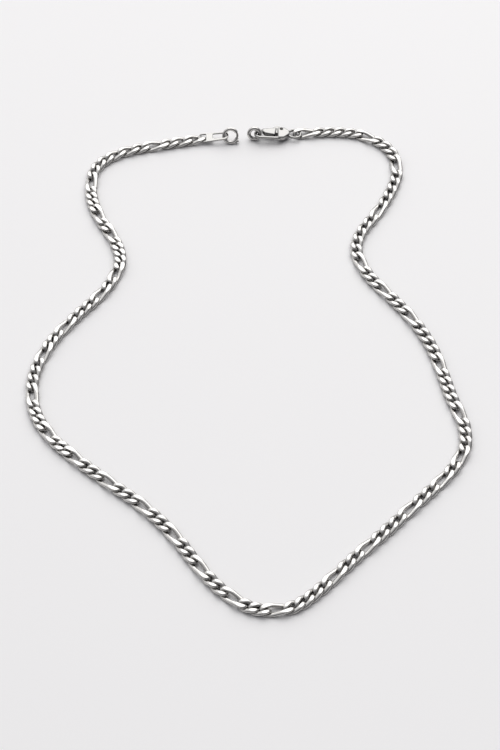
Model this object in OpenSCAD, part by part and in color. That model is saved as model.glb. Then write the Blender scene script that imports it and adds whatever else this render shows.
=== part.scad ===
// A figaro neck chain in polished silver, laid open and unfastened on a flat surface.
// Its free ends nearly meet at the back: a tag with a bolt ring on one, a lobster claw with a jump ring on
// the other. X is to the right and +Y to the back, where the clasp lies. The surface is z = 0.

/* [Chain] */
// Width of the chain across its links
chain_w = 4.4; // [4.3:0.1:4.6]
// Thickness of the chain, whose upper and lower faces are ground flat
chain_t = 2.2; // [2.1:0.05:2.4]
// Breadth of the wire that the links are bent from
wire_w = 1.3; // [1.2:0.05:1.3]
// Height of the wire that the links are bent from
wire_h = 1.05; // [1.0:0.05:1.05]
// Length of the hole in a short link
short_inner = 4.0; // [4.0:0.05:4.1]
// Length of the hole in a middle-sized link
middle_inner = 5.4; // [5.2:0.1:5.4]
// Length of the hole in a long link
long_inner = 7.3; // [7.1:0.1:7.5]
// Clearance where the links of two neighbouring repeats cross
repeat_gap = 0.12; // [0.1:0.02:0.2]
// Depth to which crossing links inside one repeat are joined
joined_depth = 0.25; // [0.23:0.01:0.27]

/* [Tag and bolt ring] */
// Length of the tag between the chain and the bolt ring
tag_l = 10.7; // [10.6:0.1:10.9]
// Width of the tag at the chain's end
tag_w = 4.1; // [4.0:0.1:4.3]
// Thickness of the tag's plate
tag_t = 0.6; // [0.5:0.05:0.65]
// Outside diameter of the bolt ring
bolt_ring_d = 6.0; // [5.9:0.1:6.1]
// Thickness of the bolt ring's tube
bolt_tube_d = 1.2; // [1.15:0.05:1.25]
// Thickness of the gate wire that slides in the tube
gate_d = 0.8; // [0.7:0.05:0.8]

/* [Claw and jump ring] */
// Outside diameter of the jump ring
jump_ring_d = 5.2; // [5.1:0.1:5.3]
// Thickness of the jump ring's wire
jump_wire_d = 1.2; // [1.1:0.05:1.2]
// Outside diameter of the claw's nose
nose_d = 4.8; // [4.7:0.1:4.9]
// Thickness of the claw's nose
nose_wire_d = 1.1; // [1.0:0.05:1.1]
// Thickness of the claw's heel, which holds the lever
heel_t = 2.0; // [1.9:0.1:2.0]
// Thickness of the lever inside the heel
lever_t = 1.0; // [0.9:0.05:1.0]
// Diameter of the rivet that the lever turns on
rivet_d = 0.8; // [0.7:0.05:0.9]

/* [Hidden] */
$fn = 32;

// The figaro pattern from the claw to the tag, one row for each repeat.
// L is a long link, s a short one and m a middle-sized one. The slack is how far each joint in the repeat is
// pushed together from its full stretch, as the chain lies.
KINDS = 0;
SLACK = 1;
REPEATS = [
    ["Lssss", 0.3],
    ["Lsss", 0.4],
    ["Lssss", 0.05],
    ["Lsssss", 0.05],
    ["Lss", 0.4],
    ["Lss", 0.4],
    ["Lssss", 0.25],
    ["Lssss", 0.6],
    ["Lsss", 0.5],
    ["Ls", 0.4],
    ["Lss", 0.1],
    ["Lsss", 0.05],
    ["Lss", 0.2],
    ["Lssss", 0.4],
    ["Lss", 0.55],
    ["Lss", 0.25],
    ["Lss", 0.3],
    ["Lss", 0.4],
    ["Lss", 0.35],
    ["Lss", 0.3],
    ["Lss", 1.05],
    ["Lsss", 0.85],
    ["Lsss", 0.4],
    ["Lss", 0.9],
    ["Lsss", 0.35],
    ["Ls", 0.55],
    ["Lssss", 1.1],
    ["Ls", 1.05],
    ["Lsss", 1.0],
    ["Lsssmms", 0.4],
    ["Lsmm", 0.5]
];

// The line on which the chain lies, clockwise from the claw's eye to the tag
ROUTE = [
    [17.5, 98.5], [29, 99.5], [40, 98], [49, 91.5], [52, 81.5], [49.5, 71], [44, 60], [38, 50.5],
    [36.5, 41], [40.5, 31], [47.5, 21.5], [54, 12], [59, 1.5], [62, -9.5], [64.5, -20.5], [67.5, -30.5],
    [67, -41], [61, -50.5], [51, -61], [41, -71.5], [31, -81.5], [22, -91], [13, -98], [2.5, -98.5],
    [-6.5, -93], [-14.5, -83.5], [-22, -72.5], [-31.5, -62], [-42.5, -53], [-53.5, -43.5], [-62.5, -34],
    [-67.5, -23], [-68, -11], [-64, 1.5], [-56.5, 13], [-47.5, 24.5], [-42.5, 36.5], [-45, 48],
    [-51, 59], [-54, 71], [-52.5, 82], [-44.5, 89], [-32.5, 92.5], [-16.5, 96]
];
steps_per_span = 12;

// The smooth curve through the route's points, with its length so far at each step
route_last = len(ROUTE) - 1;
function route_point(i) =
    i < 0 ? 2 * ROUTE[0] - ROUTE[1]
    : i > route_last ? 2 * ROUTE[route_last] - ROUTE[route_last - 1]
    : ROUTE[i];
function smooth_point(a, b, c, d, t) =
    b + t * (c - a) / 2
    + t * t * (2 * a - 5 * b + 4 * c - d) / 2
    + t * t * t * (3 * b - a - 3 * c + d) / 2;
curve = [
    for (i = [0:route_last - 1])
        for (k = [0:steps_per_span - 1])
            smooth_point(route_point(i - 1), route_point(i), route_point(i + 1), route_point(i + 2),
                         k / steps_per_span),
    ROUTE[route_last]
];
curve_arc = [
    for (i = 0, s = 0; i < len(curve); i = i + 1, s = s + (i < len(curve) ? norm(curve[i] - curve[i - 1]) : 0)) s
];
curve_x = [for (i = [0:len(curve) - 1]) [curve_arc[i], curve[i].x]];
curve_y = [for (i = [0:len(curve) - 1]) [curve_arc[i], curve[i].y]];
function on_route(s) = [lookup(s, curve_x), lookup(s, curve_y)];

// One row for each link: its kind, its slack and the number of its repeat
KIND = 0;
LINK_SLACK = 1;
REPEAT = 2;
LINKS = [
    for (r = [0:len(REPEATS) - 1])
        for (kind = REPEATS[r][KINDS])
            [kind, REPEATS[r][SLACK], r]
];
function inner_length(i) =
    LINKS[i][KIND] == "L" ? long_inner
    : LINKS[i][KIND] == "m" ? middle_inner
    : short_inner;

// The joint before link i. The joints between two repeats stay nearer to their full stretch.
between_slack = 0.4;
last_link = len(LINKS) - 1;
function between_repeats(i) = i > 0 && i <= last_link && LINKS[i - 1][REPEAT] != LINKS[i][REPEAT];
function joint_slack(i) =
    let (slack = (LINKS[max(i - 1, 0)][LINK_SLACK] + LINKS[min(i, last_link)][LINK_SLACK]) / 2)
        between_repeats(i) ? min(slack, between_slack) : slack;
function pitch(i) = inner_length(i) - (joint_slack(i) + joint_slack(i + 1)) / 2;
joint_arc = [for (i = 0, s = 0; i <= len(LINKS); s = s + (i < len(LINKS) ? pitch(i) : 0), i = i + 1) s];

// A link's outline has two straight sides and a rounded bow at each end. It is twisted about its own length:
// at each end the left side drops and the right side rises by the same amount, so one side passes over the
// next link and the other side under it.
bow_half_flat = 0.5;
corner_cut = 1.0;
wire_sides = 6;
wire_side_angle = 360 / wire_sides;
touch_rise = 1.05;
rise_for_gap = 2;
rise_for_slack = 0.9;
loose_slack = 0.2;
end_rise = 1.5;
half_side = (chain_w - wire_w) / 2;
function joint_rise(i) =
    i == 0 || i > last_link ? end_rise
    : between_repeats(i) ? touch_rise + rise_for_slack * max(0, joint_slack(i) - loose_slack)
                           + rise_for_gap * repeat_gap
    : touch_rise - joined_depth;
chain_z = chain_t / 2;

// The bolt ring leans with its near edge on the surface. Its angles run round it from the right, the far
// side at 90, and its gate wire bridges the mouth at the right.
bolt_ring_at = [-6, 96];
bolt_ring_lean = 55;
bolt_r = (bolt_ring_d - bolt_tube_d) / 2;
bolt_ring_z = bolt_r * sin(bolt_ring_lean) + bolt_tube_d / 2;
mouth_from = -18;
mouth_to = 32;
gate_fit = 0.05;
gate_from = -125;
gate_to = 42;
gate_travel = 58;
knob_angle = -44;
knob_slot_w = 0.5;
knob_slot_margin = 10;
knob_neck_w = 0.4;
knob_d = 1.2;
knob_out = 0.7;
knob_l = 0.4;

// The tag runs from the chain's last link up to the bolt ring, rising along its length and with its near
// edge a little lower
tag_back = [-17.35, 96.0, chain_z];
tag_rise_angle = 8.5;
tag_roll_angle = 6;
tag_corner_r = 1.1;
tag_tip_w = 3.3;
link_slot_l = 2.25;
link_slot_w = 3.0;
link_slot_from = 0.5;
loop_hole_from = 5.1;
loop_hole_w = 2.5;
loop_tip_l = 0.7;

// The jump ring leans like the bolt ring, a little steeper
jump_ring_at = [2.35, 97.2];
jump_ring_lean = 66;
jump_r = (jump_ring_d - jump_wire_d) / 2;
jump_ring_z = jump_r * sin(jump_ring_lean) + jump_wire_d / 2;
jump_split = 0.08;

// The claw's own frame: the eye's centre at zero, the nose towards -x, the lever on the +y side
claw_at = [16.5, 98.1, 1.35];
claw_lean = -6;
claw_pitch = 4;
eye_r = 2.15;
eye_wire_d = 0.95;
nose_at = [-11.9, -1];
nose_r = (nose_d - nose_wire_d) / 2;
nose_tip_l = 0.3;
nose_tip_d = nose_wire_d + 0.04;
rail_d = 1.2;
heel_front = -6;
heel_back = -2;
heel_far = 2.8;
heel_near = -3.4;
rail_end = heel_front + 0.7;
rivet_at = [-4.7, 1.35];
rivet_head_d = 1.3;
rivet_head_t = 0.15;
rivet_fit = 0.05;
rivet_seat = 0.01;
lever_slot_t = lever_t + 0.1;
lever_slot_from = -8;
lever_slot_to = -3.1;
lever_slot_near = -1.9;
lever_hub_r = 1.25;
lever_arm_t = 1.7;
lever_arm_from = -6.15;
lever_tip_gap = 0.1;
thumb_out = 3.5;

function unit(v) = v / norm(v);
function ground_flat(p) = [p.x, p.y, max(-chain_t / 2, min(chain_t / 2, p.z))];

// The wire's centre line round one link, about the link's own centre with its length along x
function twisted_point(x, y, reach, back_rise, front_rise) =
    [x, y, -(x > 0 ? front_rise : back_rise) * x / reach * y / half_side];
function link_line(inner, back_rise, front_rise) =
    let (reach = (inner + wire_w) / 2)
        [
            for (end = [1, -1])
                for (c = [
                    [reach - corner_cut, -half_side],
                    [reach, -bow_half_flat],
                    [reach, bow_half_flat],
                    [reach - corner_cut, half_side]
                ])
                    twisted_point(end * c.x, end * c.y, reach, back_rise, front_rise)
        ];

// The wire's six-sided section at one point of the line, square to the line there, and ground flat where it
// stands out of the chain's upper or lower face
function wire_ring(before, here, after) =
    let (
        along = unit(unit(here - before) + unit(after - here)),
        outward = unit(cross(along, [0, 0, 1])),
        up = cross(outward, along)
    )
        [
            for (j = [0:wire_sides - 1])
                ground_flat(here + wire_w / 2 * cos(j * wire_side_angle) * outward
                            + wire_h / 2 * sin(j * wire_side_angle) * up)
        ];

// A closed loop of wire along a line of points
module wire_loop(line) {
    n = len(line);
    points = [
        for (i = [0:n - 1])
            each wire_ring(line[(i + n - 1) % n], line[i], line[(i + 1) % n])
    ];
    faces = [
        for (i = [0:n - 1])
            for (j = [0:wire_sides - 1])
                let (
                    a = i * wire_sides + j,
                    b = i * wire_sides + (j + 1) % wire_sides,
                    c = (i + 1) % n * wire_sides + (j + 1) % wire_sides,
                    d = (i + 1) % n * wire_sides + j
                )
                    each [[a, b, c], [a, c, d]]
    ];
    polyhedron(points, faces);
}

module chain_link(i) {
    back = on_route(joint_arc[i]);
    front = on_route(joint_arc[i + 1]);
    heading = front - back;
    middle = (back + front) / 2 + unit(heading) * (joint_slack(i + 1) - joint_slack(i)) / 4;
    translate([middle.x, middle.y, chain_z])
        rotate([0, 0, atan2(heading.y, heading.x)])
            wire_loop(link_line(inner_length(i), joint_rise(i), joint_rise(i + 1)));
}

module figaro(r) {
    color("silver")
        for (i = [0:last_link])
            if (LINKS[i][REPEAT] == r)
                chain_link(i);
}

// The tag seen from above: blunt with round corners at the chain's end, round at the bolt ring's
module tag_outline() {
    tip_r = tag_tip_w / 2;
    for (side = [-1, 1])
        translate([tag_corner_r, side * (tag_w / 2 - tag_corner_r)])
            circle(r = tag_corner_r);
    polygon([
        [0, -tag_w / 2 + tag_corner_r],
        [tag_corner_r, -tag_w / 2],
        [tag_l - tip_r, -tip_r],
        [tag_l - tip_r, tip_r],
        [tag_corner_r, tag_w / 2],
        [0, tag_w / 2 - tag_corner_r]
    ]);
    translate([tag_l - tip_r, 0])
        circle(r = tip_r);
}

module slot_from(x, length, width) {
    translate([x, -width / 2])
        square([length, width]);
}

module end_tag() {
    color("silver")
        translate(tag_back)
            rotate([tag_roll_angle, -tag_rise_angle, 0])
                linear_extrude(tag_t, center = true)
                    difference() {
                        tag_outline();
                        slot_from(link_slot_from, link_slot_l, link_slot_w);
                        slot_from(loop_hole_from, tag_l - loop_hole_from - loop_tip_l, loop_hole_w);
                    }
}

// Places a ring that leans with its near edge on the surface
module leaning(at, height, lean) {
    translate([at.x, at.y, height])
        rotate([lean, 0, 0])
            children();
}

module arc_tube(r, d, from, to) {
    rotate([0, 0, from])
        rotate_extrude(angle = to - from)
            translate([r, 0])
                circle(d = d);
}

module bolt_ring() {
    color("silver")
        leaning(bolt_ring_at, bolt_ring_z, bolt_ring_lean)
            difference() {
                arc_tube(bolt_r, bolt_tube_d, mouth_to, mouth_from + 360);
                rotate_extrude()
                    translate([bolt_r, 0])
                        circle(d = gate_d + 2 * gate_fit);
                rotate([0, 0, knob_angle - gate_travel - knob_slot_margin])
                    rotate_extrude(angle = gate_travel + 2 * knob_slot_margin)
                        translate([bolt_r, -knob_slot_w / 2])
                            square([bolt_tube_d, knob_slot_w]);
            }
}

module ring_gate() {
    color("silver")
        leaning(bolt_ring_at, bolt_ring_z, bolt_ring_lean) {
            arc_tube(bolt_r, gate_d, gate_from, gate_to);
            rotate([0, 0, knob_angle])
                translate([bolt_r, 0, 0])
                    rotate([0, 90, 0]) {
                        cylinder(d = knob_neck_w, h = knob_out + knob_l / 2);
                        translate([0, 0, knob_out])
                            cylinder(d = knob_d, h = knob_l);
                    }
        }
}

module jump_ring() {
    color("silver")
        leaning(jump_ring_at, jump_ring_z, jump_ring_lean)
            difference() {
                rotate_extrude()
                    translate([jump_r, 0])
                        circle(d = jump_wire_d);
                translate([-jump_r - jump_wire_d, -jump_split / 2, -jump_wire_d])
                    cube([2 * jump_wire_d, jump_split, 2 * jump_wire_d]);
            }
}

module claw_place() {
    translate(claw_at)
        rotate([claw_lean, claw_pitch, 0])
            children();
}

// A straight round bar along x, from one x to another
module bar(from, to, y, d) {
    translate([from, y, 0])
        rotate([0, 90, 0])
            cylinder(d = d, h = to - from);
}

module claw_body() {
    color("silver")
        claw_place()
            difference() {
                union() {
                    rotate_extrude()
                        translate([eye_r, 0])
                            circle(d = eye_wire_d);
                    linear_extrude(heel_t, center = true)
                        polygon([
                            [heel_back, -0.9],
                            [heel_back - 0.9, -2.0],
                            [heel_back - 1.8, -3.1],
                            [heel_front, heel_near],
                            [heel_front, heel_far - 0.8],
                            [heel_front + 0.8, heel_far],
                            [heel_back - 1.8, heel_far - 0.2],
                            [heel_back, 0.9]
                        ]);
                    bar(nose_at.x, rail_end, nose_at.y - nose_r, rail_d);
                    translate([nose_at.x, nose_at.y, 0])
                        arc_tube(nose_r, nose_wire_d, 90, 270);
                    bar(nose_at.x - 0.1, nose_at.x + nose_tip_l, nose_at.y + nose_r, nose_tip_d);
                }
                translate([lever_slot_from, lever_slot_near, -lever_slot_t / 2])
                    cube([lever_slot_to - lever_slot_from, 2 * heel_far, lever_slot_t]);
                translate([rivet_at.x, rivet_at.y, -heel_t])
                    cylinder(d = rivet_d + 2 * rivet_seat, h = 2 * heel_t);
            }
}

// The lever's thin root turns in the heel's slot. Its arm is thicker and closes on the nose's tip, and a
// thumb tab stands out behind it on the far side.
module claw_lever() {
    tip = [nose_at.x + nose_tip_l + lever_tip_gap, nose_at.y + nose_r];
    color("silver")
        claw_place()
            difference() {
                union() {
                    linear_extrude(lever_t, center = true) {
                        translate(rivet_at)
                            circle(r = lever_hub_r);
                        polygon([
                            [rivet_at.x, rivet_at.y + lever_hub_r],
                            [rivet_at.x - 0.7, thumb_out],
                            [rivet_at.x - 1.5, thumb_out],
                            [lever_slot_from, 2.2],
                            [lever_slot_from, -0.2],
                            [heel_front + 0.5, -0.6],
                            [rivet_at.x, rivet_at.y - lever_hub_r]
                        ]);
                    }
                    linear_extrude(lever_arm_t, center = true)
                        polygon([
                            [lever_arm_from, heel_far - 0.3],
                            [tip.x, tip.y + nose_wire_d / 2],
                            [tip.x, tip.y - nose_wire_d / 2],
                            [lever_arm_from - 0.6, -0.5]
                        ]);
                }
                translate([rivet_at.x, rivet_at.y, -heel_t])
                    cylinder(d = rivet_d + 2 * rivet_fit, h = 2 * heel_t);
            }
}

module claw_rivet() {
    color("gainsboro")
        claw_place()
            translate([rivet_at.x, rivet_at.y, 0]) {
                cylinder(d = rivet_d, h = heel_t + 0.1, center = true);
                for (side = [-1, 1])
                    translate([0, 0, side * (heel_t / 2 + rivet_seat + rivet_head_t / 2)])
                        cylinder(d = rivet_head_d, h = rivet_head_t, center = true);
            }
}

figaro(0);  // figaro_01
figaro(1);  // figaro_02
figaro(2);  // figaro_03
figaro(3);  // figaro_04
figaro(4);  // figaro_05
figaro(5);  // figaro_06
figaro(6);  // figaro_07
figaro(7);  // figaro_08
figaro(8);  // figaro_09
figaro(9);  // figaro_10
figaro(10);  // figaro_11
figaro(11);  // figaro_12
figaro(12);  // figaro_13
figaro(13);  // figaro_14
figaro(14);  // figaro_15
figaro(15);  // figaro_16
figaro(16);  // figaro_17
figaro(17);  // figaro_18
figaro(18);  // figaro_19
figaro(19);  // figaro_20
figaro(20);  // figaro_21
figaro(21);  // figaro_22
figaro(22);  // figaro_23
figaro(23);  // figaro_24
figaro(24);  // figaro_25
figaro(25);  // figaro_26
figaro(26);  // figaro_27
figaro(27);  // figaro_28
figaro(28);  // figaro_29
figaro(29);  // figaro_30
figaro(30);  // figaro_31
end_tag();
bolt_ring();
ring_gate();
jump_ring();
claw_body();
claw_lever();
claw_rivet();
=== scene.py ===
# A figaro neck chain in polished silver, laid open and unfastened on a plain pale surface.
# The chain's links, the tag, the two clasps and the jump ring are made here as smooth meshes, each in the
# place of its node of the frame. Shapes are worked out in millimetres, and turned to metres as they are put
# in their places. Materials, camera and light are in metres, written as millimetres times mm.
import math
import random

import bmesh
import bpy
import numpy as np
from mathutils import Matrix, Vector


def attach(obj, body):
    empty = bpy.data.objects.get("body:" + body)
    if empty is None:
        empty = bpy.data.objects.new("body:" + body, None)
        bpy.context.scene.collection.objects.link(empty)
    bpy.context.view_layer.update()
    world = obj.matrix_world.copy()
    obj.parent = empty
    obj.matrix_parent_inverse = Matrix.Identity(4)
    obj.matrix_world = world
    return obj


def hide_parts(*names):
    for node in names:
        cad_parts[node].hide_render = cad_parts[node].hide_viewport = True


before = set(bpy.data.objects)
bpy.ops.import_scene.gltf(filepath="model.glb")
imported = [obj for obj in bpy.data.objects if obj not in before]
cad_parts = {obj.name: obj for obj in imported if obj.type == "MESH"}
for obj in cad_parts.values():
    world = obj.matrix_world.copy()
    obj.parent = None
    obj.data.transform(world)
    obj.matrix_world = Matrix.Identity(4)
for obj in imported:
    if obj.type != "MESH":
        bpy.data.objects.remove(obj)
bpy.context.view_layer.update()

mm = 0.001

# The chain: its width and thickness, the width and height of its wire, and the inner length of each link
chain_w = 4.3
chain_t = 2.05
wire_w = 1.5
wire_h = 1.1
short_inner = 4.0
middle_inner = 5.4
long_inner = 7.3

# The power of each link's oval outline: 2 is an ellipse, and more is squarer
oval_power = {short_inner: 1.95, middle_inner: 2.1, long_inner: 2.5}

# The figaro pattern from the claw to the tag, one row for each repeat: L a long link, s a short one and m a
# middle-sized one, and the slack of the repeat's joints
REPEATS = [
    ("Lssss", 0.3), ("Lsss", 0.4), ("Lssss", 0.05), ("Lsssss", 0.05), ("Lss", 0.4), ("Lss", 0.4),
    ("Lssss", 0.25), ("Lssss", 0.6), ("Lsss", 0.5), ("Ls", 0.4), ("Lss", 0.1), ("Lsss", 0.05),
    ("Lss", 0.2), ("Lssss", 0.4), ("Lss", 0.55), ("Lss", 0.25), ("Lss", 0.3), ("Lss", 0.4),
    ("Lss", 0.35), ("Lss", 0.3), ("Lss", 1.05), ("Lsss", 0.85), ("Lsss", 0.4), ("Lss", 0.9),
    ("Lsss", 0.35), ("Ls", 0.55), ("Lssss", 1.1), ("Ls", 1.05), ("Lsss", 1.0), ("Lsssmms", 0.4),
    ("Lsmm", 0.5),
]
between_slack = 0.4  # the most slack where two repeats meet
most_sway = 2.5  # how far a link may lean to either side, in degrees
INNER = {"L": long_inner, "m": middle_inner, "s": short_inner}

# The line on which the chain lies, from the claw's eye to the tag
ROUTE = [
    (17.5, 98.5), (29, 99.5), (40, 98), (49, 91.5), (52, 81.5), (49.5, 71), (44, 60), (38, 50.5),
    (36.5, 41), (40.5, 31), (47.5, 21.5), (54, 12), (59, 1.5), (62, -9.5), (64.5, -20.5), (67.5, -30.5),
    (67, -41), (61, -50.5), (51, -61), (41, -71.5), (31, -81.5), (22, -91), (13, -98), (2.5, -98.5),
    (-6.5, -93), (-14.5, -83.5), (-22, -72.5), (-31.5, -62), (-42.5, -53), (-53.5, -43.5), (-62.5, -34),
    (-67.5, -23), (-68, -11), (-64, 1.5), (-56.5, 13), (-47.5, 24.5), (-42.5, 36.5), (-45, 48),
    (-51, 59), (-54, 71), (-52.5, 82), (-44.5, 89), (-32.5, 92.5), (-16.5, 96),
]
steps_per_span = 12

# The mesh of a link: fine steps of its outline, rings along its wire, and points round each ring
outline_steps = 720
wire_rings = 60
ring_points = 20

# How far a link's strands rise and drop at its joints, more where a joint is loose and at the chain's two
# ends, and how softly its ground faces end
touch_rise = 1.18
rise_for_slack = 0.4
loose_slack = 0.2
end_rise = 1.4
ground_edge = 0.08

# The tag, and the place and lean of its broad end
tag_l, tag_w, tag_t, tag_tip_w, tag_edge = 10.7, 4.1, 0.6, 3.3, 0.13
tag_back, tag_rise_angle, tag_roll_angle = (-17.35, 96.0, 1.1), 8.5, 6

# The bolt ring, its mouth, the gate that slides in it, and the gate's knob. Angles are about the ring's
# centre, and the knob's heights are from the middle of its wire.
bolt_ring_at, bolt_ring_lean, bolt_r, bolt_tube_d, bolt_wall = (-6, 96), 55, 2.35, 1.28, 0.18
mouth_from, mouth_to, tube_steps = -18, 32, 120
gate_from, gate_to, gate_d, gate_end_edge, gate_travel = -125, 42, 0.8, 0.25, 58
knob_angle, knob_slot_w, knob_slot_spare, neck_r, neck_h = -44, 0.5, 10, 0.2, 0.8
knob_w, knob_l, knob_t, knob_corner, knob_edge, knob_at = 1.04, 1.6, 0.4, 0.4, 0.1, 0.88
groove_w, groove_from = 0.34, 0.85

# The jump ring
jump_ring_at, jump_ring_lean, jump_r, jump_wire_d = (2.35, 97.2), 66, 1.9, 1.4
jump_split, jump_end_edge = 0.08, 0.06

# The claw in its own frame: the eye's centre at zero, the nose towards -x
claw_at, claw_lean, claw_pitch = (16.5, 98.1, 1.35), -6, 4
eye_r, eye_wire_d, nose_at, nose_r, nose_wire_d = 2.15, 0.95, (-11.9, -1), 1.85, 1.1
heel_t, heel_edge, lever_t, lever_edge, lever_arm_t, arm_edge = 2.0, 0.65, 1.0, 0.12, 1.7, 0.6
rivet_at, rivet_d, rivet_head_d, lever_gap, pin_gap = (-4.7, 1.35), 0.8, 1.3, 0.05, 0.02

# The skin of a cast part: its voxels, and how many passes soften the claw and its lever
voxel = 0.07
claw_softening, lever_softening = 9, 5


# Materials

def linear(hex_colour):
    """An sRGB hex colour as the linear RGBA that a shader takes."""
    parts = [int(hex_colour[k:k + 2], 16) / 255 for k in (1, 3, 5)]
    return tuple(c / 12.92 if c <= 0.04045 else ((c + 0.055) / 1.055) ** 2.4 for c in parts) + (1.0,)


def add(tree, kind, settings=None, inputs=None):
    """Adds a node of a kind, with its settings and with values or other nodes' outputs on its inputs."""
    made = tree.nodes.new(kind)
    for key, value in (settings or {}).items():
        setattr(made, key, value)
    for key, value in (inputs or {}).items():
        if isinstance(value, bpy.types.NodeSocket):
            tree.links.new(value, made.inputs[key])
        else:
            made.inputs[key].default_value = value
    return made


def new_material(name):
    """A material of that name with no nodes yet, and its node tree."""
    material = bpy.data.materials.new(name)
    material.use_nodes = True
    material.node_tree.nodes.clear()
    return material, material.node_tree


def tumbled_metal(name, colour, tarnish_and_shade, recess_width, roughness_low, roughness_high):
    """Metal polished by tumbling: bright mirror faces with soft ripples and hairline scratches, smudged a
    little by handling, and darker in the recesses: some tarnish where the polishing media don't reach, and
    painted shade where the neighbours shut the light out."""
    material, tree = new_material(name)
    place = add(tree, "ShaderNodeTexCoord").outputs["Object"]

    # Ripples about 1.1 mm long, as tumbling with steel shot leaves them
    ripple = add(tree, "ShaderNodeTexNoise", inputs={
        "Vector": place, "Scale": 1 / (1.1 * mm), "Detail": 2.0})
    soft = add(tree, "ShaderNodeBump", inputs={
        "Strength": 0.6, "Distance": 0.028 * mm, "Height": ripple.outputs["Fac"]})

    # Hairlines 0.9 mm long and 0.1 mm apart. Real ones are finer, and are drawn as coarse as they show.
    along = add(tree, "ShaderNodeMapping", inputs={
        "Vector": place, "Scale": (1.0, 9.0, 3.0), "Rotation": (0.0, 0.0, math.radians(33))})
    scratch = add(tree, "ShaderNodeTexNoise", inputs={
        "Vector": along.outputs["Vector"], "Scale": 1 / (0.9 * mm), "Detail": 4.0, "Roughness": 0.7})
    fine = add(tree, "ShaderNodeBump", inputs={
        "Strength": 0.35, "Distance": 0.003 * mm, "Height": scratch.outputs["Fac"],
        "Normal": soft.outputs["Normal"]})

    # Smudges about 4 mm across, left by handling
    smudge = add(tree, "ShaderNodeTexNoise", inputs={
        "Vector": place, "Scale": 1 / (4.0 * mm), "Detail": 3.0})
    rough = add(tree, "ShaderNodeMapRange", inputs={
        "Value": smudge.outputs["Fac"], "From Min": 0.35, "From Max": 0.7,
        "To Min": roughness_low, "To Max": roughness_high})

    # Painted shade, with some tarnish: the colour turns towards the darker colour where the metal is shut in
    # by its neighbours
    recess = add(tree, "ShaderNodeAmbientOcclusion", {"samples": 6}, {"Distance": recess_width})
    dark = add(tree, "ShaderNodeMapRange", inputs={
        "Value": recess.outputs["AO"], "From Min": 0.2, "From Max": 0.86, "To Min": 1.0, "To Max": 0.0})
    tint = add(tree, "ShaderNodeMix", {"data_type": "RGBA"}, {
        "Factor": dark.outputs["Result"], "A": linear(colour), "B": linear(tarnish_and_shade)})

    shader = add(tree, "ShaderNodeBsdfPrincipled", inputs={
        "Metallic": 1.0, "Base Color": tint.outputs["Result"], "Roughness": rough.outputs["Result"],
        "Normal": fine.outputs["Normal"]})
    add(tree, "ShaderNodeOutputMaterial", inputs={"Surface": shader.outputs["BSDF"]})
    return material


def floor_material():
    """Plain pale painted board, with the half-millimetre tooth of its coat."""
    material, tree = new_material("plain_pale_board")
    place = add(tree, "ShaderNodeTexCoord").outputs["Object"]
    grain = add(tree, "ShaderNodeTexNoise", inputs={
        "Vector": place, "Scale": 1 / (0.5 * mm), "Detail": 2.0})
    bump = add(tree, "ShaderNodeBump", inputs={
        "Strength": 0.1, "Distance": 0.01 * mm, "Height": grain.outputs["Fac"]})
    shader = add(tree, "ShaderNodeBsdfPrincipled", inputs={
        "Base Color": linear("#F9F8F8"), "Roughness": 0.45, "Specular IOR Level": 0.3,
        "Normal": bump.outputs["Normal"]})
    add(tree, "ShaderNodeOutputMaterial", inputs={"Surface": shader.outputs["BSDF"]})
    return material


# Silver wire for the links, twisted, ground flat and tumbled bright: nearly white faces, and light grey in
# the recesses, painted shade with a little tarnish
silver = tumbled_metal("polished_sterling_silver", "#D0CECB", "#7A7874", 1.9 * mm, 0.1, 0.2)

# Cast and stamped silver for the claw and the tag: greyer than the links' silver, a darker copy that paints
# in shade, with recesses painted nearly black as shade
clasp_silver = tumbled_metal("cast_and_tumbled_silver", "#A7A6A4", "#0E0D0C", 3.0 * mm, 0.1, 0.2)

# Drawn silver wire and tube for the two rings: bright, with dark recesses of painted shade and a little
# tarnish
ring_silver = tumbled_metal("drawn_silver_wire", "#D3D1CE", "#1A1918", 2.2 * mm, 0.1, 0.2)

# The peened end of a steel pin: dark grey, nearly black as painted shade of the pivot hole, with a satin
# sheen, and painted shade in its recesses
pin_steel = tumbled_metal("peened_steel_pin", "#3A3938", "#1C1B1A", 2.6 * mm, 0.2, 0.34)


# Meshes, in millimetres until they are put in their places

def new_object(name, data):
    """An object of that name in the scene, with a mesh or other data."""
    made = bpy.data.objects.new(name, data)
    bpy.context.scene.collection.objects.link(made)
    return made


def new_mesh(name, parts):
    """One mesh of several parts, each its points and its faces. The faces are all turned outwards."""
    points, faces = [], []
    for part_points, part_faces in parts:
        faces += [tuple(v + len(points) for v in face) for face in part_faces]
        points += [tuple(p) for p in part_points]
    mesh = bpy.data.meshes.new(name)
    mesh.from_pydata(points, [], faces)
    work = bmesh.new()
    work.from_mesh(mesh)
    bmesh.ops.recalc_face_normals(work, faces=work.faces)
    work.to_mesh(mesh)
    work.free()
    return mesh


def result_mesh(holder):
    """The mesh that a holder object comes out as, with its modifiers. The holder is removed."""
    mesh = bpy.data.meshes.new_from_object(holder.evaluated_get(bpy.context.evaluated_depsgraph_get()))
    bpy.data.objects.remove(holder)
    return mesh


def modified(mesh, *modifiers):
    """The mesh after modifiers, each given as a type and its settings."""
    holder = new_object("holder", mesh)
    for kind, settings in modifiers:
        modifier = holder.modifiers.new(kind, kind)
        for key, value in settings.items():
            setattr(modifier, key, value)
    return result_mesh(holder)


def cut(mesh, *tools):
    """The mesh with other closed meshes cut out of it."""
    for tool in tools:
        cutter = new_object("cutter", tool)
        mesh = modified(mesh, ("BOOLEAN", {"operation": "DIFFERENCE", "solver": "EXACT",
                                           "object": cutter}))
        bpy.data.objects.remove(cutter)
    return mesh


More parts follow.
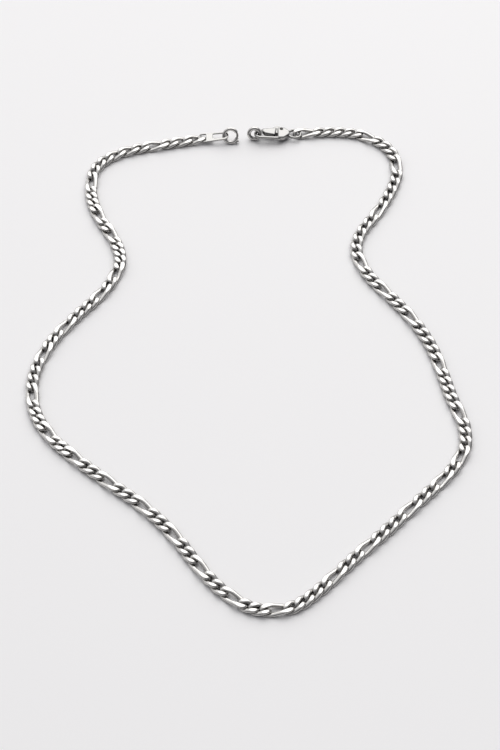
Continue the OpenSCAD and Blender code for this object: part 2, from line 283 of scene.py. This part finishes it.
def joined(meshes):
    """Several meshes as one."""
    work = bmesh.new()
    for mesh in meshes:
        work.from_mesh(mesh)
    whole = bpy.data.meshes.new("joined")
    work.to_mesh(whole)
    work.free()
    return whole


def fused(meshes, passes):
    """Closed meshes merged under one skin and softened, as casting and tumbling round a part."""
    return modified(joined(meshes), ("REMESH", {"mode": "VOXEL", "voxel_size": voxel}),
                    ("SMOOTH", {"factor": 0.5, "iterations": passes}))


def put(name, mesh, place, material, body, slot, *nodes, crease=40):
    """Puts a mesh in its place as a finished piece, which replaces the named nodes and rides their body. Its
    edges are sharp past the crease angle."""
    mesh.name = name
    mesh.transform(Matrix.Scale(mm, 4) @ place)
    mesh.polygons.foreach_set("use_smooth", [True] * len(mesh.polygons))
    mesh.set_sharp_from_angle(angle=math.radians(crease))
    mesh.materials.clear()
    mesh.materials.append(material)
    piece = new_object(name, mesh)
    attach(piece, body)
    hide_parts(*nodes)


# Shapes

def unit(v):
    """A direction, or each of many, at length one."""
    return v / np.linalg.norm(v, axis=-1, keepdims=True)


def sweep(line, half_w, half_h, closed=True, square=1.0):
    """The points and faces of a wire along a line of points. Its section reaches half_w to each side and
    half_h up and down, and both may change along the line. It is an ellipse where square is 1, and squarer
    where it is less."""
    ahead, behind = np.roll(line, -1, axis=0), np.roll(line, 1, axis=0)
    if not closed:
        ahead[-1], behind[0] = line[-1], line[0]
    along = unit(ahead - behind)
    outward = unit(np.cross(along, [0, 0, 1]))
    up = np.cross(outward, along)
    turn = np.arange(ring_points) * 2 * math.pi / ring_points
    side = np.sign(np.cos(turn)) * np.abs(np.cos(turn)) ** square
    top = np.sign(np.sin(turn)) * np.abs(np.sin(turn)) ** square
    half_w, half_h = np.broadcast_to(half_w, len(line)), np.broadcast_to(half_h, len(line))
    points = (line[:, None] + np.outer(half_w, side)[..., None] * outward[:, None]
              + np.outer(half_h, top)[..., None] * up[:, None]).reshape(-1, 3)
    rings = len(line)
    faces = [(a * ring_points + b, a * ring_points + (b + 1) % ring_points,
              (a + 1) % rings * ring_points + (b + 1) % ring_points, (a + 1) % rings * ring_points + b)
             for a in range(rings if closed else rings - 1) for b in range(ring_points)]
    if not closed:
        faces += [tuple(range(ring_points)), tuple(range(len(points) - ring_points, len(points)))]
    return points, faces


def arc_line(r, start, end, steps, at=(0, 0)):
    """Points round an arc in the plane, from one angle in degrees to another."""
    a = np.radians(np.linspace(start, end, steps + 1))
    return np.column_stack([at[0] + r * np.cos(a), at[1] + r * np.sin(a), 0 * a])


def soft_ended(line, radius, edge):
    """An open line with close steps at its ends, and the wire's radius at each, so that the wire's two ends
    have a round edge."""
    arc = np.concatenate([[0], np.cumsum(np.linalg.norm(np.diff(line, axis=0), axis=1))])
    turn = np.radians([0, 22, 45, 67, 90])
    near, near_r = edge * (1 - np.cos(turn)), radius - edge + edge * np.sin(turn)
    middle = arc[(arc > 1.2 * edge) & (arc < arc[-1] - 1.2 * edge)]
    at = np.concatenate([near, middle, arc[-1] - near[::-1]])
    radii = np.concatenate([near_r, np.full(len(middle), radius), near_r[::-1]])
    return np.column_stack([np.interp(at, arc, line[:, k]) for k in range(3)]), radii


def turned(profile, sides=40):
    """A shape turned about the z axis from a profile of (radius, height), which starts and ends on it."""
    turn = np.arange(sides) * 2 * math.pi / sides
    points = [(0, 0, profile[0][1])]
    for r, z in profile[1:-1]:
        points += [(r * math.cos(a), r * math.sin(a), z) for a in turn]
    points.append((0, 0, profile[-1][1]))
    last, rings = len(points) - 1, len(profile) - 2
    faces = [(0, 1 + (b + 1) % sides, 1 + b) for b in range(sides)]
    faces += [(1 + a * sides + b, 1 + a * sides + (b + 1) % sides,
               1 + (a + 1) * sides + (b + 1) % sides, 1 + (a + 1) * sides + b)
              for a in range(rings - 1) for b in range(sides)]
    top = last - sides
    faces += [(last, top + b, top + (b + 1) % sides) for b in range(sides)]
    return points, faces


def rounded(corners, steps=8):
    """The outline through (x, y, radius) corners, each rounded to its radius."""
    outline = []
    for k, (x, y, r) in enumerate(corners):
        here = np.array((x, y))
        before = unit(np.array(corners[k - 1][:2]) - here)
        after = unit(np.array(corners[(k + 1) % len(corners)][:2]) - here)
        half = math.acos(float(np.clip(before @ after, -1, 1))) / 2
        centre = here + unit(before + after) * r / math.sin(half)
        first = here + before * r / math.tan(half) - centre
        last = here + after * r / math.tan(half) - centre
        a = math.atan2(first[1], first[0])
        swing = (math.atan2(last[1], last[0]) - a + math.pi) % (2 * math.pi) - math.pi
        outline += [centre + r * np.array((math.cos(a + swing * t), math.sin(a + swing * t)))
                    for t in np.linspace(0, 1, steps + 1)]
    return outline


def plate(outlines, thickness, edge):
    """A flat plate with rounded edges inside its first outline, with the other outlines as holes."""
    flat = bpy.data.curves.new("flat", "CURVE")
    flat.dimensions = "2D"
    flat.fill_mode = "BOTH"
    flat.extrude = thickness / 2 - edge
    flat.bevel_depth = edge
    flat.bevel_resolution = 4
    flat.offset = -edge
    for outline in outlines:
        spline = flat.splines.new("POLY")
        spline.points.add(len(outline) - 1)
        for point, (x, y) in zip(spline.points, outline):
            point.co = (x, y, 0, 1)
        spline.use_cyclic_u = True
    mesh = result_mesh(new_object("holder", flat))
    work = bmesh.new()
    work.from_mesh(mesh)
    bmesh.ops.remove_doubles(work, verts=work.verts, dist=0.001)
    bmesh.ops.recalc_face_normals(work, faces=work.faces)
    work.to_mesh(mesh)
    work.free()
    return mesh


def box(low, high):
    """A closed box mesh between two corners, which only cuts slots."""
    points = [(x, y, z) for x in (low[0], high[0]) for y in (low[1], high[1]) for z in (low[2], high[2])]
    faces = [(0, 1, 3, 2), (4, 6, 7, 5), (0, 4, 5, 1), (2, 3, 7, 6), (0, 2, 6, 4), (1, 5, 7, 3)]
    return new_mesh("box", [(points, faces)])


# The chain's route

def smooth_point(a, b, c, d, t):
    """A point on the smooth curve between b and c, whose neighbours are a and d."""
    return (b + t * (c - a) / 2 + t ** 2 * (2 * a - 5 * b + 4 * c - d) / 2
            + t ** 3 * (3 * b - a - 3 * c + d) / 2)


def route_curve():
    """The smooth curve through the route's points, and its length so far at each step."""
    knots = np.array(ROUTE, dtype=float)
    knots = np.vstack([2 * knots[0] - knots[1], knots, 2 * knots[-1] - knots[-2]])
    curve = [smooth_point(*knots[k:k + 4], step / steps_per_span)
             for k in range(len(ROUTE) - 1) for step in range(steps_per_span)]
    curve = np.array(curve + [knots[-2]])
    arc = np.concatenate([[0], np.cumsum(np.linalg.norm(np.diff(curve, axis=0), axis=1))])
    return curve, arc


# The links from the claw to the tag, each its kind, its slack and the number of its repeat
links = [(kind, slack, r) for r, (kinds, slack) in enumerate(REPEATS) for kind in kinds]


def joint_slack(i):
    """The slack where link i - 1 meets link i. A joint between two repeats has less of it at most."""
    before, after = links[max(i - 1, 0)], links[min(i, len(links) - 1)]
    slack = (before[1] + after[1]) / 2
    return min(slack, between_slack) if before[2] != after[2] else slack


def joint_rise(i):
    """How far the strands rise and drop where link i - 1 meets link i."""
    if i == 0 or i == len(links):
        return end_rise
    return touch_rise + rise_for_slack * max(0, joint_slack(i) - loose_slack)


curve, curve_arc = route_curve()
pitches = [INNER[links[i][0]] - (joint_slack(i) + joint_slack(i + 1)) / 2 for i in range(len(links))]
joint_arc = np.concatenate([[0], np.cumsum(pitches)])
joint_at = np.column_stack([np.interp(joint_arc, curve_arc, curve[:, axis]) for axis in (0, 1)])


# Links

def link_outline(inner):
    """Even points round a link's oval outline, and how far it reaches along and across the chain."""
    reach, side = (inner + wire_w) / 2, (chain_w - wire_w) / 2
    turn = np.linspace(0, 2 * math.pi, outline_steps + 1)
    power = 2 / oval_power[inner]
    x = reach * np.sign(np.cos(turn)) * np.abs(np.cos(turn)) ** power
    y = side * np.sign(np.sin(turn)) * np.abs(np.sin(turn)) ** power
    arc = np.concatenate([[0], np.cumsum(np.hypot(np.diff(x), np.diff(y)))])
    at = np.linspace(0, arc[-1], wire_rings, endpoint=False)
    return np.column_stack([np.interp(at, arc, x), np.interp(at, arc, y)]), reach, side


def ground_flat(z):
    """Heights cut off softly at the chain's two faces, as grinding and tumbling leave them."""
    over = (chain_t / 2 - np.abs(z)) / ground_edge
    return np.sign(z) * (chain_t / 2 - ground_edge * np.logaddexp(0, over))


def link_mesh(i, sway):
    """The points and faces of link i in its place. Its sway is its small lean to one side."""
    outline, reach, side = link_outline(INNER[links[i][0]])
    x, y = outline[:, 0], outline[:, 1]
    rise = np.where(x > 0, joint_rise(i + 1), joint_rise(i))
    line = np.column_stack([x, y, -rise * (x / reach) * (y / side)])
    points, faces = sweep(line, wire_w / 2, wire_h / 2)
    points[:, 2] = ground_flat(points[:, 2])
    heading = unit(joint_at[i + 1] - joint_at[i])
    centre = (joint_at[i + 1] + joint_at[i]) / 2 + heading * (joint_slack(i + 1) - joint_slack(i)) / 4
    turn = Matrix.Rotation(math.atan2(heading[1], heading[0]), 3, "Z") @ Matrix.Rotation(sway, 3, "X")
    points = points @ np.array(turn).T
    points += [centre[0], centre[1], -points[:, 2].min()]
    return points, faces


def make_chain():
    """The links, one piece for each repeat."""
    chance = random.Random(11)
    sways = [math.radians(chance.uniform(-most_sway, most_sway)) for i in links]
    for r in range(len(REPEATS)):
        made = [link_mesh(i, sways[i]) for i in range(len(links)) if links[i][2] == r]
        put("links_%02d" % (r + 1), new_mesh("links", made), Matrix(), silver, "root", "polished_silver",
            "figaro_%02d" % (r + 1), crease=180)


# The tag and the rings

def leaning(at, r, d, lean):
    """The place of a ring that leans with its near edge on the surface."""
    height = r * math.sin(math.radians(lean)) + d / 2
    return Matrix.Translation((at[0], at[1], height)) @ Matrix.Rotation(math.radians(lean), 4, "X")


def make_tag():
    """The stamped tag: a slot for the last link at its broad end, and a long loop at the other."""
    tip = tag_tip_w / 2

    # The tip is nearly a half round, and the broad end has rounded corners
    outer = rounded([(0, -tag_w / 2, 1.1), (tag_l - tip, -tip, 1), (tag_l, -tip, tip * 0.94),
                     (tag_l, tip, tip * 0.94), (tag_l - tip, tip, 1), (0, tag_w / 2, 1.1)])
    slot = rounded([(0.5, -1.5, 0.4), (2.75, -1.5, 0.4), (2.75, 1.5, 0.4), (0.5, 1.5, 0.4)])
    hole = rounded([(5.1, -0.85, 0.5), (10, -0.95, 1.0), (10, 1.2, 1.0), (5.1, 1.3, 0.5)])
    place = (Matrix.Translation(tag_back) @ Matrix.Rotation(math.radians(-tag_rise_angle), 4, "Y")
             @ Matrix.Rotation(math.radians(tag_roll_angle), 4, "X"))
    put("tag", plate([outer, slot, hole], tag_t, tag_edge), place, clasp_silver, "root",
        "polished_silver", "end_tag")


def make_bolt_ring():
    """The bolt ring's tube, open at its mouth, with the slot that the gate's knob slides in."""
    line = arc_line(bolt_r, mouth_to, mouth_from + 360, tube_steps)
    points, faces = sweep(line, bolt_tube_d / 2, bolt_tube_d / 2, closed=False)
    slot_from = knob_angle - gate_travel - knob_slot_spare + 360
    slot_to = knob_angle + knob_slot_spare + 360
    step = (mouth_from + 360 - mouth_to) / tube_steps

    # The tube's faces, but for its two end caps and the slot's faces along the outside
    kept = []
    for k, face in enumerate(faces[:-2]):
        at = mouth_to + (k // ring_points + 0.5) * step
        middle = np.mean([points[v] for v in face], axis=0)
        outside = math.hypot(middle[0], middle[1]) > bolt_r and abs(middle[2]) < knob_slot_w / 2
        if not (outside and slot_from < at < slot_to):
            kept.append(face)
    mesh = modified(new_mesh("tube", [(points, kept)]),
                    ("SOLIDIFY", {"thickness": bolt_wall, "offset": -1}))
    put("bolt_ring_tube", mesh, leaning(bolt_ring_at, bolt_r, bolt_tube_d, bolt_ring_lean), ring_silver,
        "root", "polished_silver", "bolt_ring")


def make_gate():
    """The sprung gate wire inside the tube, and its grooved thumb knob on a thin neck."""
    line, radii = soft_ended(arc_line(bolt_r, gate_from, gate_to, 80), gate_d / 2, gate_end_edge)
    wire = sweep(line, radii, radii, closed=False)
    neck = turned([(0, 0), (neck_r, 0), (neck_r, neck_h), (0, neck_h)])
    x, y = knob_w / 2, knob_l / 2
    corners = [(-x, -y, knob_corner), (x, -y, knob_corner), (x, y, knob_corner), (-x, y, knob_corner)]
    pad = plate([rounded(corners)], knob_t, knob_edge)
    pad.transform(Matrix.Translation((0, 0, knob_at)))
    groove = box((-1, -groove_w / 2, groove_from), (1, groove_w / 2, 2))
    knob = joined([new_mesh("neck", [neck]), cut(pad, groove)])
    knob.transform(Matrix.Rotation(math.radians(knob_angle), 4, "Z") @ Matrix.Translation((bolt_r, 0, 0))
                   @ Matrix.Rotation(math.pi / 2, 4, "Y"))
    put("gate_wire", joined([new_mesh("wire", [wire]), knob]),
        leaning(bolt_ring_at, bolt_r, bolt_tube_d, bolt_ring_lean), ring_silver, "gate", "polished_silver",
        "ring_gate")


def make_jump_ring():
    """The round wire of the jump ring, with its fine split at the left."""
    half_split = math.degrees(jump_split / 2 / jump_r)
    line, radii = soft_ended(arc_line(jump_r, 180 + half_split, 540 - half_split, 120), jump_wire_d / 2,
                             jump_end_edge)
    mesh = new_mesh("jump", [sweep(line, radii, radii, closed=False)])
    put("split_jump_ring", mesh, leaning(jump_ring_at, jump_r, jump_wire_d, jump_ring_lean), ring_silver,
        "root", "polished_silver", "jump_ring")


# The lobster claw

claw_place = (Matrix.Translation(claw_at) @ Matrix.Rotation(math.radians(claw_pitch), 4, "Y")
              @ Matrix.Rotation(math.radians(claw_lean), 4, "X"))
rivet_place = Matrix.Translation((rivet_at[0], rivet_at[1], 0))


def pin_hole():
    """The rivet's hole, as a mesh to cut with."""
    r = rivet_d / 2 + pin_gap
    hole = new_mesh("pin_hole", [turned([(0, -2), (r, -2), (r, 2), (0, 2)])])
    hole.transform(rivet_place)
    return hole


def make_claw_body():
    """The cast body: its eye, rounded heel, tapered rail and hooked nose, with a slot for the lever."""
    eye = new_mesh("eye", [sweep(arc_line(eye_r, 0, 357, 119), eye_wire_d / 2, eye_wire_d / 2)])
    heel = plate([rounded([(-1.7, -0.9, 0.4), (-3.7, -3.1, 1.6), (-6.1, -3.4, 0.6), (-6.1, 2.4, 1.0),
                           (-4.9, 2.85, 0.9), (-3.5, 2.55, 1.5), (-1.7, 0.9, 0.4)])], heel_t, heel_edge)

    # The rail runs along the near side from inside the heel, tapers, and hooks back round the nose
    nose_x, near_y, far_y = nose_at[0], nose_at[1] - nose_r, nose_at[1] + nose_r
    straight_x = np.linspace(-5, nose_x + 0.3, 20)
    straight = np.column_stack([straight_x, np.full(20, near_y), np.zeros(20)])
    hook = arc_line(nose_r, 270, 90, 40, nose_at)
    rail = np.vstack([straight, hook, [[nose_x + 0.15, far_y, 0]], [[nose_x + 0.3, far_y, 0]]])
    taper_x = [nose_x, -7, -5]
    width = np.interp(rail[:, 0], taper_x, [nose_wire_d / 2, 0.6, 0.7])
    height = np.interp(rail[:, 0], taper_x, [nose_wire_d / 2, 0.6, 0.8])
    nose = new_mesh("nose", [sweep(rail, width, height, closed=False, square=0.85)])

    lever_slot = box((-8, -1.9, -lever_t / 2 - lever_gap), (-3.1, 5.6, lever_t / 2 + lever_gap))
    body = cut(fused([eye, heel, nose], claw_softening), lever_slot, pin_hole())
    put("claw", body, claw_place, clasp_silver, "root", "polished_silver", "claw_body")


def make_claw_lever():
    """The sprung lever: a thin root with its thumb tab in the heel's slot, and a thick arm that closes on
    the nose."""
    root = plate([rounded([(-3.45, 1.35, 0.6), (-4.1, 2.5, 0.5), (-4.9, 2.75, 0.5), (-5.4, 3.5, 0.2),
                           (-6.2, 3.5, 0.3), (-8, 2.2, 0.3), (-8, -0.2, 0.2), (-5.5, -0.55, 0.4),
                           (-4.3, 0.1, 0.6)])], lever_t, lever_edge)
    tip_x, tip_y = nose_at[0] + 0.4, nose_at[1] + nose_r
    arm = plate([rounded([(-6.2, 2.45, 0.5), (tip_x, tip_y + 0.6, 0.6), (tip_x, tip_y - 0.85, 0.6),
                          (-10.4, -1.1, 1.0), (-6.9, -1.75, 0.5)])], lever_arm_t, arm_edge)
    lever = cut(fused([root, arm], lever_softening), pin_hole())
    put("claw_lever_arm", lever, claw_place, clasp_silver, "lever", "polished_silver", "claw_lever")


def make_claw_rivet():
    """The rivet through the heel and the lever, with a peened head on each side."""
    face, head = heel_t / 2 + 0.01, rivet_head_d / 2
    half = [(rivet_d / 2, face), (head, face), (head, face + 0.05), (head * 0.85, face + 0.12),
            (head * 0.5, face + 0.15), (0.12, face + 0.1), (0, face + 0.08)]
    profile = [(r, -z) for r, z in reversed(half)] + half
    put("claw_pin", new_mesh("pin", [turned(profile)]), claw_place @ rivet_place, pin_steel, "root",
        "steel_pin", "claw_rivet")


# Camera, light and floor

camera_elevation = 51.04
window_at = (0.25, 0.9, 1.1)
brightest_way = (-0.3, 0.64, 0.71)
floor_half = 3.0


def make_camera():
    """The photograph's viewpoint: 51 degrees above the surface, through a 96 mm lens, with no roll."""
    data = bpy.data.cameras.new("camera")
    data.lens = 96
    data.sensor_width = 36
    camera = new_object("camera", data)
    camera.location = (0.8 * mm, -411.3 * mm, 496.2 * mm)
    camera.rotation_euler = (math.radians(90 - camera_elevation), 0, 0)
    bpy.context.scene.camera = camera


def make_window():
    """A round soft window high up behind the chain, a little to the right, which lights its ground faces."""
    data = bpy.data.lights.new("window", "AREA")
    data.shape = "DISK"
    data.size = 1.9
    data.energy = 11.0
    data.color = linear("#FFFEFC")[:3]
    light = new_object("window", data)
    light.location = window_at
    light.rotation_euler = (-Vector(window_at)).to_track_quat("-Z", "Y").to_euler()


def make_world():
    """A soft white studio: bright above and behind the object, dim low down on the viewer's side."""
    world = bpy.data.worlds.new("studio")
    bpy.context.scene.world = world
    world.use_nodes = True
    tree = world.node_tree
    tree.nodes.clear()
    direction = add(tree, "ShaderNodeTexCoord").outputs["Generated"]
    towards = add(tree, "ShaderNodeVectorMath", {"operation": "DOT_PRODUCT"},
                  {0: direction, 1: brightest_way})
    shade = add(tree, "ShaderNodeValToRGB", inputs={"Fac": towards.outputs["Value"]})
    ramp = shade.color_ramp
    ramp.elements[0].position = 0.0
    ramp.elements[0].color = linear("#646466")
    ramp.elements[1].position = 0.95
    ramp.elements[1].color = linear("#FCFCFD")
    ramp.elements.new(0.4).color = linear("#949497")
    ramp.elements.new(0.72).color = linear("#CDCDCF")
    glow = add(tree, "ShaderNodeBackground", inputs={"Color": shade.outputs["Color"], "Strength": 1.23})
    add(tree, "ShaderNodeOutputWorld", inputs={"Surface": glow.outputs["Background"]})


def make_floor():
    """A plain floor that fills the view."""
    half = floor_half
    corners = [(-half, -half, 0), (half, -half, 0), (half, half, 0), (-half, half, 0)]
    mesh = bpy.data.meshes.new("floor")
    mesh.from_pydata(corners, [], [(0, 1, 2, 3)])
    mesh.materials.append(floor_material())
    floor = new_object("floor", mesh)


bpy.context.scene.view_settings.view_transform = "Standard"
make_camera()
make_world()
make_floor()
make_window()
make_chain()
make_tag()
make_bolt_ring()
make_gate()
make_jump_ring()
make_claw_body()
make_claw_lever()
make_claw_rivet()
